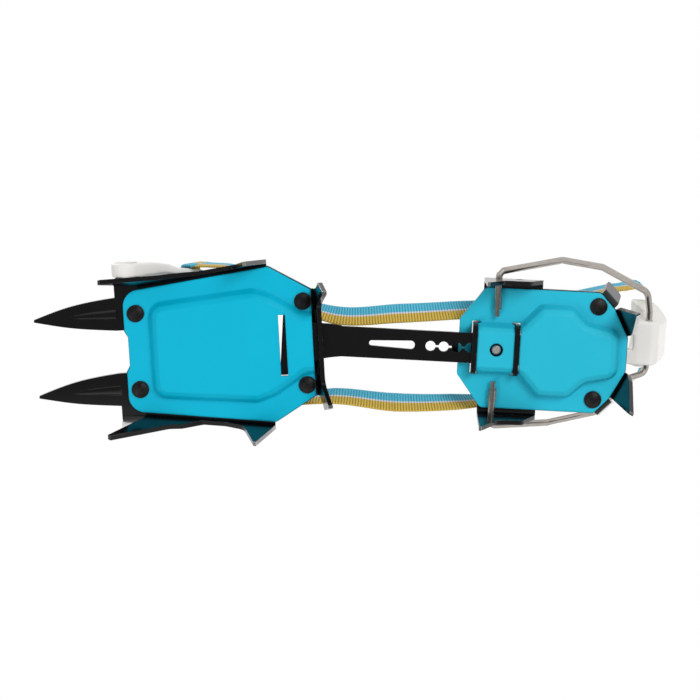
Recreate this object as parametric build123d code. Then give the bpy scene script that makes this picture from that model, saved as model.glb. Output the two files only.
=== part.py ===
from build123d import *

import math
import os

os.makedirs("parts", exist_ok=True)

# A left-foot crampon for a mountaineering boot: a front section and a heel section of folded
# sheet steel, joined by a flat link bar. +X points to the toe, +Y to the outer side of the
# foot, +Z up. Everything is drawn with the length lock at x = 0 and moved to its origin last.

# --- Sheet steel and fits ---------------------------------------------------------------
STEEL = 2.5          # thickness of both frames
BEND = 1.5           # inner radius of every fold
FOLD = BEND + STEEL  # a folded wall's outer face stands this far out from where its fold starts
LAP = 3.0            # flat sheet that a fold shares with its frame
RUNNING = 0.07       # radial clearance of a pivot
CLEAR = 0.3          # gap between pieces that pass each other

# --- Heights above the ground -----------------------------------------------------------
FRONT_UNDER = 33.0   # underside of the front frame, so the length of its points
HEEL_STEP = 3.0      # the heel frame stands this much higher than the front one
HEEL_UNDER = FRONT_UNDER + HEEL_STEP
BAR_DROP = 1.6       # the link bar runs this far below the front frame
BAR_TOP = FRONT_UNDER - BAR_DROP
BAR_THICK = 2.0
BAR_BOTTOM = BAR_TOP - BAR_THICK

# --- Link bar ---------------------------------------------------------------------------
BAR_WIDTH = 17.4
BAR_TAIL = -27.0     # rear end, behind the length lock
HOLE_PITCH = 7.5
HOLE_RADIUS = 2.9
HOLES_BEHIND = 2     # holes behind the one in use
HOLES_AHEAD = 5
HOLE_SLIT = 1.3      # width of the slit that joins the holes
T_HEAD_X = 121.5     # T head, the centre that the front section swings about
T_HEAD_Y = -3.7      # it stands off the bar's middle, towards the inner side of the foot
T_HEAD_RADIUS = 17.5
T_LIP_TOP = FRONT_UNDER + STEEL - 0.4

# --- Front section, in its own frame: x from its rear edge, z from its underside --------
TOE_ANGLE = 6.0      # the front section points this many degrees inwards of the bar
T_SLOT_X = 20.0
T_SLOT_LENGTH = 37.5
T_SLOT_WIDTH = 6.4
FRONT_EDGE = 110.75
FRONT_CORNER = (102.0, 35.9)
WIDE_CORNER = (26.5, 45.3)
BULKHEAD_HALF = 30.9
BULKHEAD_START = 2.5  # where the rear wall's fold starts
BULKHEAD_FLARE = 10.0
FRONT_STUDS = [(103.4, 22.0), (7.6, 24.2)]
POINT_Y = 21.9       # middle of each front point
POINT_HALF = 9.5
POINT_TIP = 160.2
POINT_CURVE = 108.0  # radius that the front points curve down with

# --- Heel section -----------------------------------------------------------------------
HEEL_HALF = 35.2     # half width of the heel plate
HEEL_FRONT = (21.4, 16.0)
HEEL_SIDE_FRONT = (7.2, HEEL_HALF)
HEEL_SIDE_REAR = (-58.2, HEEL_HALF)
HEEL_CORNER = (-67.0, 26.2)
HEEL_REAR = (-75.4, 9.8)
HEEL_STUD = (-57.3, 27.0)
GUIDE_HALF = 14.5    # half width of the two walls that guide the bar
GUIDE_FRONT = 13.9   # outer face of the front guide wall
GUIDE_REAR = -12.9   # outer face of the rear guide wall
GUIDE_DEPTH = 10.5
LUG_FACE = 40.4      # outer face of the side lugs
LUG_FLARE = 3.0

# --- Snow plates ------------------------------------------------------------------------
PLATE = 1.6          # wall of the moulded plates
FRONT_BULGE = 7.5    # how far the front plate's middle stands down
HEEL_BULGE = 9.5
STUD_HEAD = 5.0      # radius of a stud's head
STUD_SHANK = 2.5
STUD_COLLAR = 3.5
STUD_RECESS = 1.2    # depth of the recess that holds the collar

# --- Length lock ------------------------------------------------------------------------
PIN_RADIUS = 2.7
PIN_BOTTOM = BAR_BOTTOM - 2.2
LOCK_PLATE = 1.0     # thickness of the finger plate
LOCK_HALF = 7.5
SPRING_THICK = 0.7
LOCK_RIVET = (-31.0, 4.0)

# --- Heel bail and lever ----------------------------------------------------------------
WIRE = 2.0           # radius of the bail's wire
BAIL_X = 0.6         # pivot hole in use, with a second one behind it
BAIL_SPARE_X = -11.1
BAIL_Z = HEEL_UNDER - 4.6
BAIL_ANGLE = 31.3    # how steeply the bail stands at rest
BAIL_LENGTH = 109.2  # from its pivot to its cross bar
BAIL_INNER = 23.8
LEVER_HALF = 13.0    # half width at the cross bar
LEVER_TOP_HALF = 20.0
TUNNEL_X = -3.0      # middle of the strap tunnel from the cross bar
TUNNEL_Z = 40.0

# --- Toe bail ---------------------------------------------------------------------------
TOE_PIVOT_X = 108.0
TOE_PIVOT_Z = 12.5
TOE_LUG_FACE = 41.5  # outer face of the lug that carries the toe bail
TOE_WALL = 4.0
TOE_INNER = TOE_LUG_FACE + CLEAR
TOE_BREAK = 24.5     # height where the walls start to lean in over the boot
TOE_TOP = 62.5       # inside of the arch
TOE_TOP_HALF = 27.5
TOE_RADIUS = 20.0    # inside corner radius of the arch
RIVET = 2.5
SLOT_X = 74.0        # middle of the strap slot in each wing
SLOT_Z = 44.0
SLOT_TILT = 45.0

# --- Webbing ----------------------------------------------------------------------------
WEB_WIDTH = 15.0
WEB_THICK = 1.4
RING_WIRE = 1.5      # radius of the buckle rings' wire
RING_Y = 13.5        # straight side of the buckle rings

FRONT_PLACE = (
    Pos(T_HEAD_X, T_HEAD_Y, FRONT_UNDER) * Rot(0, 0, -TOE_ANGLE) * Pos(-T_SLOT_X, 0, 0)
)
HEEL_PLACE = Pos(0, 0, HEEL_UNDER)
SIDE = Plane((0, 0, 0), x_dir=(1, 0, 0), z_dir=(0, -1, 0))     # outlines in x and z
ACROSS = Plane((0, 0, 0), x_dir=(0, 1, 0), z_dir=(1, 0, 0))    # outlines in y and z
ALONG = Plane((0, 0, 0), x_dir=(0, -1, 0), z_dir=(-1, 0, 0))   # outlines along a placed edge


# --- Drawing helpers --------------------------------------------------------------------
def rounded_edges(points, closed=True):
    """Edges through the points in order. A third number rounds that corner."""
    corners = []
    last = len(points) - 1
    for i, (x, y, *radius) in enumerate(points):
        here = Vector(x, y)
        if not radius or (not closed and i in (0, last)):
            corners.append((here, None, here))
            continue
        before = Vector(*points[i - 1][:2])
        after = Vector(*points[(i + 1) % len(points)][:2])
        back = (before - here).normalized()
        ahead = (after - here).normalized()
        half = math.radians(back.get_angle(ahead) / 2)
        cut = radius[0] / math.tan(half)
        inward = (back + ahead).normalized()
        middle = here + inward * (radius[0] / math.sin(half) - radius[0])
        corners.append((here + back * cut, middle, here + ahead * cut))
    edges = []
    for i, (enter, middle, leave) in enumerate(corners):
        if middle:
            edges.append(ThreePointArc(enter, middle, leave))
        if i == last and not closed:
            break
        following = corners[(i + 1) % len(corners)][0]
        if (following - leave).length > 1e-6:
            edges.append(Line(leave, following))
    return edges


def rounded_face(points):
    return make_face(rounded_edges(points))


def bent_path(points):
    """Open path through the points, rounded where they give a radius."""
    return Wire([edge.edge() for edge in rounded_edges(points, closed=False)])


def both_halves(points):
    """Closed plan outline from its +Y half, which runs from front to rear."""
    return points + [(x, -y, *radius) for x, y, *radius in reversed(points) if y]


def both_sides(points):
    """Closed outline across the foot, in y and z, from its +Y half."""
    return points + [(-y, z, *radius) for y, z, *radius in reversed(points) if y]


def slab(points, low, high):
    return extrude(Pos(0, 0, low) * rounded_face(points), amount=high - low)


def cutter(points, plane, reach=90.0):
    """Outline drawn in a plane and made solid both ways."""
    return extrude(plane * rounded_face(points), amount=reach, both=True)


def folded_strip(span, reach, flare):
    """Sheet with its underside at z = 0, folded down along the Y axis, leaning out by flare."""
    lean = math.radians(flare)
    out = Vector(math.cos(lean), math.sin(lean))
    down = Vector(math.sin(lean), -math.cos(lean))
    centre = Vector(0, -BEND)
    outer, inner = centre + out * FOLD, centre + out * BEND
    profile = make_face(
        [
            Line((-LAP, STEEL), (0, STEEL)),
            CenterArc(centre, FOLD, flare, 90 - flare),
            Line(outer, outer + down * reach),
            Line(outer + down * reach, inner + down * reach),
            Line(inner + down * reach, inner),
            CenterArc(centre, BEND, flare, 90 - flare),
            Line((0, 0), (-LAP, 0)),
            Line((-LAP, 0), (-LAP, STEEL)),
        ]
    )
    return extrude(SIDE * profile, amount=span / 2, both=True)


def folded_up(span, reach, flare):
    return Pos(0, 0, STEEL) * mirror(folded_strip(span, reach, flare), Plane.XY)


def outward(start, end, inset=0.0):
    """Place on the edge from start to end: its x points out to the left of that run."""
    heading = math.degrees(math.atan2(end[0] - start[0], start[1] - end[1]))
    return Pos(start[0], start[1], 0) * Rot(0, 0, heading) * Pos(-inset, 0, 0)


def and_mirrored(shape):
    return shape + mirror(shape, Plane.XZ)


def rod(radius, start, end):
    """Round bar between two points."""
    run = Vector(*end) - Vector(*start)
    return extrude(Plane(start, z_dir=run) * Circle(radius), amount=run.length)


def round_wire(path, radius):
    start = Plane(origin=path @ 0, z_dir=path % 0)
    return sweep(start * Circle(radius), path=path)


def stud(x, y):
    """Domed stud driven up through a plate and its frame, and set over in the frame's recess."""
    head = rod(STUD_HEAD, (x, y, -PLATE - 0.7), (x, y, -PLATE))
    dome = Pos(x, y, 9.0 - PLATE - 1.8) * Sphere(9.0)
    head += dome & rod(STUD_HEAD, (x, y, -PLATE - 3.35), (x, y, -PLATE - 0.35))
    shank = rod(STUD_SHANK, (x, y, -PLATE - 0.3), (x, y, STEEL - 0.5))
    collar = rod(STUD_COLLAR, (x, y, STEEL - STUD_RECESS), (x, y, STEEL - 0.1))
    return head + shank + collar


def stud_seat(frame, x, y):
    """Holes for a pair of studs, recessed on top so that the boot's sole lies flat."""
    for side in (y, -y):
        frame -= Pos(x, side, 0) * Cylinder(STUD_SHANK, 20)
        frame -= rod(STUD_COLLAR, (x, side, STEEL - STUD_RECESS), (x, side, STEEL + 1))
    return frame


# --- Front frame ------------------------------------------------------------------------
FRONT_TOOTH = [
    (67.5, 4), (67.5, -1.5), (80.5, -8.8, 5), (87.5, -10.2, 6), (119.6, 4.1 - FRONT_UNDER),
    (121.0, 5.4 - FRONT_UNDER), (101.8, -3, 9), (100.5, 4),
]
MIDDLE_TOOTH = [
    (27.2, 4), (27.2, -1), (29.0, -7, 10), (37.4, -FRONT_UNDER), (38.9, -FRONT_UNDER),
    (45.2, -6.5, 7), (56.0, -2.5, 6), (70.0, -2.5), (70.0, 4),
]
BULKHEAD = [
    (BULKHEAD_HALF, 4), (BULKHEAD_HALF, -2), (33.0, -11, 14), (36.8, -17, 5),
    (33.1, -FRONT_UNDER), (31.7, -FRONT_UNDER), (22.5, -9.5, 7), (17.0, -9.0, 3),
]
TOE_LUG = [
    (TOE_PIVOT_X - 7, -1), (TOE_PIVOT_X + 7, -1), (TOE_PIVOT_X + 7, TOE_PIVOT_Z + 7, 6.99),
    (TOE_PIVOT_X - 7, TOE_PIVOT_Z + 7, 6.99),
]


def front_point():
    """One front point: a tapered strip curved down, with a rib pressed along its middle."""
    middle = STEEL / 2
    centre = Vector(FRONT_EDGE, middle - POINT_CURVE)
    sweep_angle = 32.0
    start_x = FRONT_EDGE - 14
    outer, inner = POINT_CURVE + middle, POINT_CURVE - middle
    end = math.radians(90 - sweep_angle)
    toward = Vector(math.cos(end), math.sin(end))
    profile = make_face(
        [
            Line((start_x, STEEL), (FRONT_EDGE, STEEL)),
            CenterArc(centre, outer, 90 - sweep_angle, sweep_angle),
            Line(centre + toward * outer, centre + toward * inner),
            CenterArc(centre, inner, 90 - sweep_angle, sweep_angle),
            Line((FRONT_EDGE, 0), (start_x, 0)),
            Line((start_x, 0), (start_x, STEEL)),
        ]
    )
    sheet = extrude(SIDE * profile, amount=30, both=True)
    left = Spline([(115, POINT_HALF), (128, 8.1), (141, 6.0), (154, 2.6), (POINT_TIP, 0.7)])
    right = mirror(left, Plane.XZ)
    plan = make_face(
        [
            Line((start_x, -POINT_HALF), (start_x, POINT_HALF)),
            Line((start_x, POINT_HALF), left @ 0),
            left,
            Line(left @ 1, right @ 1),
            right,
            Line(right @ 0, (start_x, -POINT_HALF)),
        ]
    )
    point = sheet & extrude(Pos(0, 0, -40) * plan, amount=60)
    arc_place = SIDE * Pos(centre.X, centre.Y)
    for root, height in ((3.4, inner + 1.2), (2.6, outer + 0.9)):
        path = Wire([arc_place * CenterArc((0, 0), height, 88, -20)])
        ends = []
        for t, radius in ((0, root), (1, 0.5)):
            ends.append(Plane(origin=path @ t, z_dir=path % t) * Circle(radius))
        rib = sweep(ends, path=path, multisection=True)
        point = point + rib if height < POINT_CURVE else point - rib
    return point


def make_front_frame():
    outline = both_halves(
        [
            (FRONT_EDGE - 2, 0),
            (FRONT_EDGE - 2, 8.2, 1.5),
            (FRONT_EDGE, 11.8, 1.5),
            (FRONT_EDGE, 34.0, 3),
            (*FRONT_CORNER, 3),
            (*WIDE_CORNER, 3),
            (BULKHEAD_START, BULKHEAD_HALF),
        ]
    )
    frame = slab(outline, 0, STEEL)
    frame -= slab(both_halves([(92, 22, 5), (64, 26, 5)]), -1, STEEL + 1)
    frame -= slab(both_halves([(50, 30, 5), (33, 31, 5)]), -1, STEEL + 1)
    edge = outward(WIDE_CORNER, FRONT_CORNER)
    for silhouette, flare in ((FRONT_TOOTH, 16.0), (MIDDLE_TOOTH, 8.0)):
        wall = edge * folded_strip(280, 45, flare)
        frame += and_mirrored(wall & cutter(silhouette, SIDE))
    rear = Pos(BULKHEAD_START, 0, 0) * Rot(0, 0, 180) * folded_strip(90, 40, BULKHEAD_FLARE)
    frame += rear & cutter(both_sides(BULKHEAD), ACROSS)
    ear = Pos(TOE_PIVOT_X, 33, STEEL / 2) * Box(14, 2 * (TOE_LUG_FACE - FOLD - 33), STEEL)
    lug = Pos(0, TOE_LUG_FACE - FOLD, 0) * Rot(0, 0, 90) * folded_up(280, 30, 0)
    frame += and_mirrored(ear + (lug & cutter(TOE_LUG, SIDE)))
    frame += and_mirrored(Pos(0, POINT_Y, 0) * front_point())
    frame -= Pos(T_SLOT_X, 0, 0) * Box(T_SLOT_WIDTH, T_SLOT_LENGTH, 20)
    frame -= Pos(-4, 0, -2.6) * Box(14, T_SLOT_LENGTH, 3.4)
    frame -= rod(RIVET, (TOE_PIVOT_X, -60, TOE_PIVOT_Z), (TOE_PIVOT_X, 60, TOE_PIVOT_Z))
    for x, y in FRONT_STUDS:
        frame = stud_seat(frame, x, y)
    return frame


# --- Front snow plate -------------------------------------------------------------------
FRONT_FOOT = [
    (97.2, 28.4, 10), (36, 34.2, 8), (25, 30.5, 6), (12, 22.4, 3), (7.6, 19.0, 2), (-10, 19.0),
]
BULGE_TAPER = 30.0
SHOULDER = 1.8        # depth of the shallower slope round a bulge's flat bottom
SHOULDER_TAPER = 56.0


def bulge(foot, depth, taper, inset=0.0):
    """Flat-bottomed bulge standing down from z = 0, with sloping sides and a soft shoulder."""
    face = rounded_face(both_halves(foot))
    if inset:
        face = offset(face, amount=-inset)
    shape = extrude(face, amount=depth - SHOULDER, dir=(0, 0, -1), taper=taper)
    shoulder = shape.faces().sort_by(Axis.Z)[0]
    return shape + extrude(shoulder, amount=SHOULDER, dir=(0, 0, -1), taper=SHOULDER_TAPER)


def make_front_plate():
    edge = 0.4
    rear = BULKHEAD_START + edge
    outline = both_halves(
        [
            (FRONT_EDGE - 2.2, 0),
            (FRONT_EDGE - 2.2, 8.4, 1.5),
            (FRONT_EDGE - edge, 12.2, 1.5),
            (FRONT_EDGE - edge, FRONT_CORNER[1] - 1.5, 9.5),
            (WIDE_CORNER[0], WIDE_CORNER[1] - edge, 3),
            (rear, BULKHEAD_HALF - edge),
        ]
    )
    behind = Pos(rear - 50, 0, 0) * Box(100, 120, 60)
    plate = slab(outline, -PLATE, 0) + (bulge(FRONT_FOOT, FRONT_BULGE, BULGE_TAPER) - behind)
    plate -= bulge(FRONT_FOOT, FRONT_BULGE - PLATE, BULGE_TAPER, 1.6)
    plate -= Pos(T_SLOT_X, 0, -FRONT_BULGE) * Box(4.0, 35.4, 6)
    for x, y in FRONT_STUDS:
        for side in (y, -y):
            plate -= Pos(x, side, 0) * Cylinder(STUD_SHANK, 20)
    return plate


def make_front_studs():
    return [stud(x, side * y) for x, y in FRONT_STUDS for side in (1, -1)]


# --- Toe bail ---------------------------------------------------------------------------
TOE_SIDE = [
    (116.8, 9.5), (100.5, 52, 30), (92, 70), (62, 70), (65.5, 39, 5), (80, 31, 18), (99.6, 8.5),
]


def make_toe_bail():
    low = -10.0
    inner = [
        (TOE_INNER, low), (TOE_INNER, TOE_BREAK, 30), (TOE_TOP_HALF, TOE_TOP, TOE_RADIUS),
    ]
    hollow = cutter(both_sides(inner), ACROSS, 200)
    wall = [
        (TOE_INNER + TOE_WALL, low), (TOE_INNER + TOE_WALL, TOE_BREAK + 0.7, 34),
        (TOE_TOP_HALF + 2.7, TOE_TOP + TOE_WALL, TOE_RADIUS + TOE_WALL),
    ]
    arch = cutter(both_sides(wall), ACROSS, 200) - hollow
    side = cutter(TOE_SIDE, SIDE)
    side += rod(9, (TOE_PIVOT_X, -90, TOE_PIVOT_Z), (TOE_PIVOT_X, 90, TOE_PIVOT_Z))
    bail = arch & side
    bail -= rod(
        RIVET + RUNNING, (TOE_PIVOT_X, -60, TOE_PIVOT_Z), (TOE_PIVOT_X, 60, TOE_PIVOT_Z)
    )
    slot = Box(17, 120, 3.5)
    bail -= Pos(SLOT_X, 0, SLOT_Z) * Rot(0, SLOT_TILT, 0) * slot
    return bail


def make_toe_rivets():
    """Rivets that carry the toe bail, one on each side."""
    inner = TOE_LUG_FACE - STEEL - 1.2
    outer = TOE_INNER + TOE_WALL + CLEAR
    here = (TOE_PIVOT_X, TOE_PIVOT_Z)
    rivet = rod(RIVET, (here[0], inner, here[1]), (here[0], outer + 0.5, here[1]))
    rivet += rod(4.5, (here[0], outer, here[1]), (here[0], outer + 1.3, here[1]))
    rivet += rod(4.0, (here[0], inner, here[1]), (here[0], inner + 1.2, here[1]))
    return [rivet, mirror(rivet, Plane.XZ)]


# --- Link bar ---------------------------------------------------------------------------
def make_link_bar():
    half = BAR_WIDTH / 2
    wide, inner_wide = half + 5.8, half + 13.8
    # behind the T head, and how much wider than the bar its flare is there
    outer_flare = [(33.5, 0), (23.5, 1.0), (15.5, 1.2), (10.5, 2.3), (7.5, 5.8)]
    inner_flare = [(33.5, 0), (23.5, 1.7), (15.5, 4.7), (10.5, 8.5), (7.5, 13.8)]
    left = Spline([(T_HEAD_X - back, half + more) for back, more in outer_flare])
    right = Spline([(T_HEAD_X - back, -half - more) for back, more in inner_flare])
    front = T_HEAD_X + BAR_THICK / 2
    plan = make_face(
        [
            Line((BAR_TAIL, 3 - half), (BAR_TAIL, half - 3)),
            ThreePointArc((BAR_TAIL, half - 3), (BAR_TAIL + 0.88, half - 0.88), (BAR_TAIL + 3, half)),
            Line((BAR_TAIL + 3, half), left @ 0),
            left,
            Line(left @ 1, (front, wide)),
            Line((front, wide), (front, -inner_wide)),
            Line((front, -inner_wide), right @ 1),
            right,
            Line(right @ 0, (BAR_TAIL + 3, -half)),
            ThreePointArc((BAR_TAIL + 3, -half), (BAR_TAIL + 0.88, 0.88 - half), (BAR_TAIL, 3 - half)),
        ]
    )
    bar = extrude(Pos(0, 0, BAR_BOTTOM) * plan, amount=BAR_THICK)
    lip_height = T_LIP_TOP - BAR_BOTTOM
    lip = Box(BAR_THICK, 38, lip_height)
    bar += Pos(T_HEAD_X, T_HEAD_Y, BAR_BOTTOM + lip_height / 2) * lip
    swing = Pos(T_HEAD_X, T_HEAD_Y, 30) * Cylinder(T_HEAD_RADIUS, 60)
    behind = Pos(T_HEAD_X - 10 - 150, 0, 30) * Box(300, 80, 60)
    bar = bar & (swing + behind)
    for i in range(-HOLES_BEHIND, HOLES_AHEAD + 1):
        bar -= Pos(i * HOLE_PITCH, 0, 30) * Cylinder(HOLE_RADIUS, 20)
    slit_from = -HOLES_BEHIND * HOLE_PITCH
    slit_to = HOLES_AHEAD * HOLE_PITCH
    bar -= Pos((slit_from + slit_to) / 2, 0, 30) * Box(slit_to - slit_from, HOLE_SLIT, 20)
    taper = slab([(72.6, 1.45, 1.4), (72.6, -1.45, 1.4), (46.5, -2.55, 2.3), (46.5, 2.55, 2.3)], 20, 40)
    return bar - taper


# --- Heel frame -------------------------------------------------------------------------
SIDE_LUG = [
    (8.6, 4), (8.6, -HEEL_UNDER), (7.3, -HEEL_UNDER), (-2.5, -18, 8), (-16.5, -17.5, 5),
    (-25.0, -1.5, 5), (-25.0, 4),
]
REAR_TOOTH = [
    (0.8, 4), (0.8, -2), (2.4, -9, 8), (15.4, -HEEL_UNDER), (16.7, -HEEL_UNDER), (17.6, 0),
    (17.6, 4),
]
HEEL_LUG = [(0.4, -1), (11.6, -1), (11.6, 20, 3), (0.4, 20, 3)]
GUIDE = [(GUIDE_HALF, 4), (GUIDE_HALF, -GUIDE_DEPTH, 2)]


def make_heel_frame():
    outline = both_halves(
        [
            (14, 25.4, 2), (*HEEL_SIDE_FRONT, 2), (*HEEL_SIDE_REAR, 2), (*HEEL_CORNER, 2),
            (*HEEL_REAR, 2),
        ]
    )
    frame = slab(outline, 0, STEEL)
    front_fold = GUIDE_FRONT - FOLD
    rear_fold = GUIDE_REAR + FOLD
    relief = GUIDE_HALF + 0.6
    frame -= Pos(front_fold + 20, 0, 0) * Box(40, 2 * relief, 20)
    frame -= slab(both_halves([(rear_fold, relief), (-26, relief, 4)]), -1, STEEL + 1)
    frame -= slab(both_halves([(-35, 18, 5), (-57, 15, 5)]), -1, STEEL + 1)
    guide_cut = cutter(both_sides(GUIDE), ACROSS)
    frame += Pos(front_fold, 0, 0) * folded_strip(60, 30, 0) & guide_cut
    frame += Pos(rear_fold, 0, 0) * Rot(0, 0, 180) * folded_strip(60, 30, 0) & guide_cut
    middle = BAR_TOP - BAR_THICK / 2 - HEEL_UNDER
    frame -= Pos(0, 0, middle) * Box(60, BAR_WIDTH + 2 * CLEAR, BAR_THICK + 2 * CLEAR)
    fold_y = LUG_FACE - FOLD
    ear = Pos(-8.2, fold_y - 3, STEEL / 2) * Box(33.6, 6, STEEL)
    lug = Pos(0, fold_y, 0) * Rot(0, 0, 90) * folded_strip(200, 45, LUG_FLARE)
    lug = lug & cutter(SIDE_LUG, SIDE)
    for x in (BAIL_X, BAIL_SPARE_X):
        lug -= rod(WIRE + RUNNING, (x, 20, BAIL_Z - HEEL_UNDER), (x, 60, BAIL_Z - HEEL_UNDER))
    frame += and_mirrored(ear + lug)
    edge = outward(HEEL_REAR, HEEL_CORNER, 0.5)
    tooth = edge * (folded_strip(90, 45, 11.3) & cutter(REAR_TOOTH, ALONG))
    frame += and_mirrored(tooth)
    edge = outward(HEEL_CORNER, HEEL_SIDE_REAR, 0.5)
    stop = edge * (folded_up(90, 40, 13.0) & cutter(HEEL_LUG, ALONG))
    frame += and_mirrored(stop)
    frame -= Cylinder(3.5, 20)
    for side in (1, -1):
        frame -= Pos(LOCK_RIVET[0], side * LOCK_RIVET[1], 0) * Cylinder(1.5, 20)
    return stud_seat(frame, *HEEL_STUD)


# --- Heel snow plate --------------------------------------------------------------------
HEEL_FOOT = [
    (16, 15.5, 2), (-13, 15.5, 3), (-24, 27.5, 7), (-43, 27.5, 8), (-52.5, 18.5, 8), (-71, 14.5, 8),
]


def make_heel_plate():
    edge = 0.4
    outline = both_halves(
        [
            (*HEEL_FRONT, 3),
            (HEEL_SIDE_FRONT[0], HEEL_HALF - edge, 3),
            (HEEL_SIDE_REAR[0], HEEL_HALF - edge, 3),
            (HEEL_CORNER[0] + edge, HEEL_CORNER[1] - edge, 3),
            (HEEL_REAR[0] + edge, HEEL_REAR[1], 3),
        ]
    )
    plate = slab(outline, -PLATE, 0) + bulge(HEEL_FOOT, HEEL_BULGE, 20)
    plate -= bulge(HEEL_FOOT, HEEL_BULGE - PLATE, 20, 1.5)
    opening = 2 * GUIDE_HALF + 1.2
    for face, inwards in ((GUIDE_FRONT, -1), (GUIDE_REAR, 1)):
        plate -= Pos(face + inwards * FOLD / 2, 0, -1) * Box(FOLD + 2 * CLEAR, opening, 4)
        plate -= Pos(face + inwards * STEEL / 2, 0, -8) * Box(STEEL + 2 * CLEAR, opening, 12)
    ahead = GUIDE_FRONT - STEEL - CLEAR
    plate -= Pos(ahead + 20, 0, -10 - PLATE) * Box(40, 2 * GUIDE_HALF + 3, 20)
    plate -= Pos(0, 0, -HEEL_BULGE) * Cylinder(3.8, 10)
    for side in (1, -1):
        plate -= Pos(HEEL_STUD[0], side * HEEL_STUD[1], 0) * Cylinder(STUD_SHANK, 20)
    return plate


def make_heel_studs():
    return [stud(HEEL_STUD[0], side * HEEL_STUD[1]) for side in (1, -1)]


# --- Length lock ------------------------------------------------------------------------
def make_lock_pin():
    top = HEEL_UNDER + STEEL + SPRING_THICK + 0.1 + LOCK_PLATE
    pin = rod(PIN_RADIUS, (0, 0, PIN_BOTTOM), (0, 0, top))
    pin = chamfer(pin.edges().group_by(Axis.Z)[0], 0.6)
    return pin + rod(4.2, (0, 0, top), (0, 0, top + 0.9))


def make_finger_plate():
    low = HEEL_UNDER + STEEL + SPRING_THICK + 0.1
    points = both_halves([(25, 5.5, 3), (17, 5.5, 2), (14, LOCK_HALF, 2), (-8, LOCK_HALF, 2)])
    plate = slab(points, low, low + LOCK_PLATE)
    plate -= Pos(0, 0, low) * Cylinder(PIN_RADIUS, 10)
    lip = Pos(24.4, 0, low + 1.5) * Box(1.0, 8, 3.0)
    return plate + lip


def make_lock_spring():
    low = HEEL_UNDER + STEEL
    points = both_halves([(6, 5, 3), (-26, 5, 2), (-28, 7.5, 2), (-34, 7.5, 1.5)])
    spring = slab(points, low, low + SPRING_THICK)
    spring -= Pos(0, 0, low) * Cylinder(PIN_RADIUS + 0.3, 10)
    for side in (1, -1):
        spring -= Pos(LOCK_RIVET[0], side * LOCK_RIVET[1], low) * Cylinder(1.5, 10)
    return spring


def make_lock_rivets():
    top = HEEL_UNDER + STEEL + SPRING_THICK
    rivets = []
    for side in (1, -1):
        x, y = LOCK_RIVET[0], side * LOCK_RIVET[1]
        rivet = rod(1.5, (x, y, HEEL_UNDER - 0.6), (x, y, top + 0.4))
        rivet += rod(2.6, (x, y, top), (x, y, top + 0.8))
        rivet += rod(2.3, (x, y, HEEL_UNDER - 0.7), (x, y, HEEL_UNDER))
        rivets.append(rivet)
    return rivets


# --- Heel bail and lever ----------------------------------------------------------------
BAIL_PATH = [
    # distance from the pivot and y; the outer side stands further out than the inner one
    (0, BAIL_INNER), (0, 44.6, 3.5), (43.5, 50.3, 8), (72.5, 45.6, 8), (106.8, 30.0, 7),
    (BAIL_LENGTH, 18.5, 6), (BAIL_LENGTH, -18.5, 5), (98.0, -21.0, 6), (74.0, -40.6, 6),
    (40.0, -45.0, 8), (0, -44.6, 3.5), (0, -BAIL_INNER),
]
BAIL_TURN = math.radians(BAIL_ANGLE)
BAIL_PLANE = Plane(
    (BAIL_X, 0, BAIL_Z),
    x_dir=(-math.cos(BAIL_TURN), 0, math.sin(BAIL_TURN)),
    z_dir=(-math.sin(BAIL_TURN), 0, -math.cos(BAIL_TURN)),
)
CROSS_X = BAIL_X - BAIL_LENGTH * math.cos(BAIL_TURN)
CROSS_Z = BAIL_Z + BAIL_LENGTH * math.sin(BAIL_TURN)


def make_heel_bail():
    """Bent wire whose ends are pressed flat, so that they stay in the lugs."""
    bail = round_wire(BAIL_PLANE * bent_path(BAIL_PATH), WIRE)
    place = Pos(BAIL_X, 0, BAIL_Z) * Rot(0, BAIL_ANGLE, 0)
    pressed = [(-2.1, -1), (-2.1, 6.5), (2.1, 6.5), (2.1, -1)]
    for side in (1, -1):
        outline = [(x, side * (BAIL_INNER + y)) for x, y in pressed]
        bail += place * extrude(Polygon(*outline, align=None), amount=1.2, both=True)
        tip = BAIL_INNER - 1
        bail += rod(1.5, (BAIL_X, side * (tip - 4), BAIL_Z), (BAIL_X, side * tip, BAIL_Z))
    return bail


LEVER_SIDE = [
    (-6.0, -3.0, 2.5), (-13.0, 20.0, 25), (-14.5, 42.0, 10), (-12.0, 52.6, 4), (3.0, 52.6, 6),
    (7.0, 42.0, 8), (5.0, 27.0, 8), (1.5, 17.0, 8), (3.0, 8.5, 6), (13.5, 5.5, 3), (17.2, 0.5, 2),
    (16.4, -5.4, 1.5), (7.0, -7.2, 6), (-2.5, -7.0, 4),
]
LEVER_FACE = [
    (LEVER_HALF, -8), (LEVER_HALF, 8, 12), (LEVER_TOP_HALF - 1.0, 24, 14), (LEVER_TOP_HALF, 42, 14),
    (LEVER_TOP_HALF - 4.0, 53, 8),
]


def make_heel_lever():
    lever = cutter(LEVER_SIDE, SIDE) & cutter(both_sides(LEVER_FACE), ACROSS)
    lever -= rod(WIRE + RUNNING, (0, -30, 0), (0, 30, 0))
    tunnel = Pos(TUNNEL_X, 0, TUNNEL_Z) * Box(3.0, 60, 17)
    lever -= tunnel
    lever -= Pos(11.0, 0, 0) * Box(4.0, 9, 30)
    for y in (-6.2, 6.2):
        lever -= Pos(11, y, -7.4) * Box(16, 1.0, 1.6)
    return Pos(CROSS_X, 0, CROSS_Z) * lever


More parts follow.
